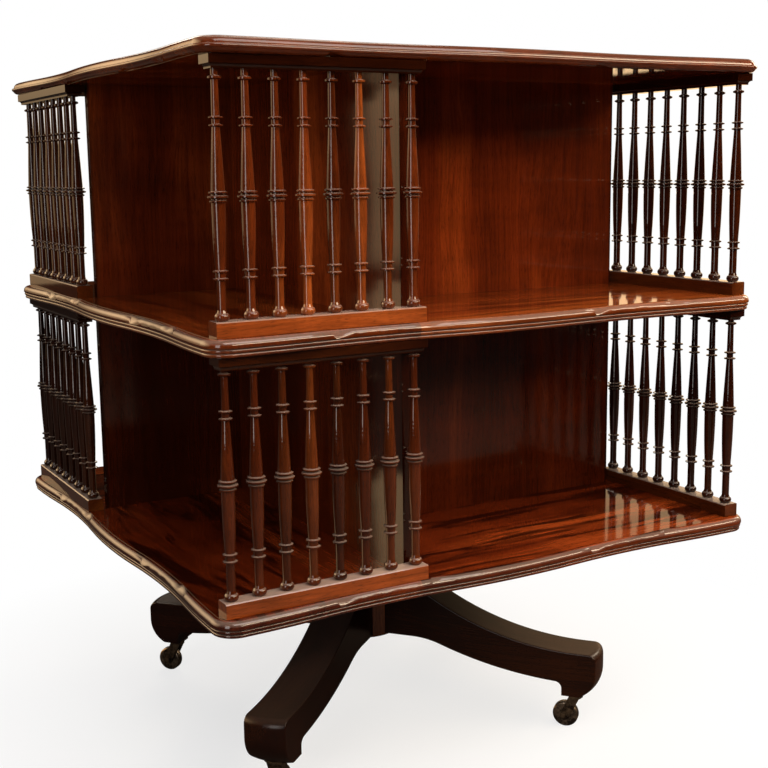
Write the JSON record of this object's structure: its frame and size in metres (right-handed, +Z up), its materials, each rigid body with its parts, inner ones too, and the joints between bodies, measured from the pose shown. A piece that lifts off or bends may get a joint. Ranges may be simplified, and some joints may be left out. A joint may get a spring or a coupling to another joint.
{
  "type": "revolving bookcase",
  "caption": "Two-tier revolving bookcase with serpentine moulded boards and turned spindle galleries, turning on a post in a castored base of splayed legs.",
  "frame": {"origin": "on the floor under the centre post, at the bottom centre of the bounding box", "axes": "+Z up along the post; the front gallery and compartment face -Y, the right ones +X; the base's legs point to the corners, turned 5 degrees clockwise seen from above"},
  "size_m": [0.64, 0.64, 0.76],
  "materials": {
    "top": "French-polished mahogany, high gloss",
    "shelves": "French-polished figured mahogany, high gloss",
    "panels": "French-polished dark mahogany",
    "rails": "French-polished mahogany",
    "spindles": "French-polished turned mahogany",
    "legs": "dark polished mahogany",
    "iron": "oiled iron",
    "brass": "dull brass",
    "caster": "darkened brass",
    "wheels": "worn darkened brass",
    "screws": "plain steel"
  },
  "bodies": {
    "base": {"pillar": "legs", "leg_front_right": "legs", "leg_back_right": "legs", "leg_back_left": "legs", "leg_front_left": "legs", "post_socket": "iron", "post": "iron", "thrust_washer": "brass", "caster_plates": "brass", "base_screws": "screws"},
    "case": {"bottom_shelf": "shelves", "middle_shelf": "shelves", "top_board": "top", "lower_partition_front": "panels", "lower_bottom_rail_front": "rails", "lower_top_rail_front": "rails", "lower_spindles_front": "spindles", "lower_partition_right": "panels", "lower_bottom_rail_right": "rails", "lower_top_rail_right": "rails", "lower_spindles_right": "spindles", "lower_partition_back": "panels", "lower_bottom_rail_back": "rails", "lower_top_rail_back": "rails", "lower_spindles_back": "spindles", "lower_partition_left": "panels", "lower_bottom_rail_left": "rails", "lower_top_rail_left": "rails", "lower_spindles_left": "spindles", "upper_partition_front": "panels", "upper_bottom_rail_front": "rails", "upper_top_rail_front": "rails", "upper_spindles_front": "spindles", "upper_partition_right": "panels", "upper_bottom_rail_right": "rails", "upper_top_rail_right": "rails", "upper_spindles_right": "spindles", "upper_partition_back": "panels", "upper_bottom_rail_back": "rails", "upper_top_rail_back": "rails", "upper_spindles_back": "spindles", "upper_partition_left": "panels", "upper_bottom_rail_left": "rails", "upper_top_rail_left": "rails", "upper_spindles_left": "spindles", "pivot_block": "panels", "lower_bush": "brass", "top_bush": "brass"},
    "fork_front_right": {"caster_fork_front_right": "caster", "caster_axle_front_right": "caster"},
    "wheel_front_right": {"caster_wheel_front_right": "wheels"},
    "fork_back_right": {"caster_fork_back_right": "caster", "caster_axle_back_right": "caster"},
    "wheel_back_right": {"caster_wheel_back_right": "wheels"},
    "fork_back_left": {"caster_fork_back_left": "caster", "caster_axle_back_left": "caster"},
    "wheel_back_left": {"caster_wheel_back_left": "wheels"},
    "fork_front_left": {"caster_fork_front_left": "caster", "caster_axle_front_left": "caster"},
    "wheel_front_left": {"caster_wheel_front_left": "wheels"}
  },
  "joints": [
    {"name": "case_spin", "type": "hinge", "parent": "base", "child": "case", "pos_m": [0, 0, 0.241], "axis": [0, 0, 1], "continuous": true},
    {"name": "caster_swivel_front_right", "type": "hinge", "parent": "base", "child": "fork_front_right", "pos_m": [0.1697, -0.20224, 0.04], "axis": [0, 0, 1], "continuous": true},
    {"name": "wheel_spin_front_right", "type": "hinge", "parent": "fork_front_right", "child": "wheel_front_right", "pos_m": [0.16198, -0.19304, 0.015], "axis": [0.766, 0.6428, 0], "continuous": true},
    {"name": "caster_swivel_back_right", "type": "hinge", "parent": "base", "child": "fork_back_right", "pos_m": [0.20224, 0.1697, 0.04], "axis": [0, 0, 1], "continuous": true},
    {"name": "wheel_spin_back_right", "type": "hinge", "parent": "fork_back_right", "child": "wheel_back_right", "pos_m": [0.19304, 0.16198, 0.015], "axis": [-0.6428, 0.766, 0], "continuous": true},
    {"name": "caster_swivel_back_left", "type": "hinge", "parent": "base", "child": "fork_back_left", "pos_m": [-0.1697, 0.20224, 0.04], "axis": [0, 0, 1], "continuous": true},
    {"name": "wheel_spin_back_left", "type": "hinge", "parent": "fork_back_left", "child": "wheel_back_left", "pos_m": [-0.17741, 0.21143, 0.015], "axis": [-0.766, -0.6428, 0], "continuous": true},
    {"name": "caster_swivel_front_left", "type": "hinge", "parent": "base", "child": "fork_front_left", "pos_m": [-0.20224, -0.1697, 0.04], "axis": [0, 0, 1], "continuous": true},
    {"name": "wheel_spin_front_left", "type": "hinge", "parent": "fork_front_left", "child": "wheel_front_left", "pos_m": [-0.19304, -0.16198, 0.015], "axis": [0.6428, -0.766, 0], "continuous": true}
  ]
}
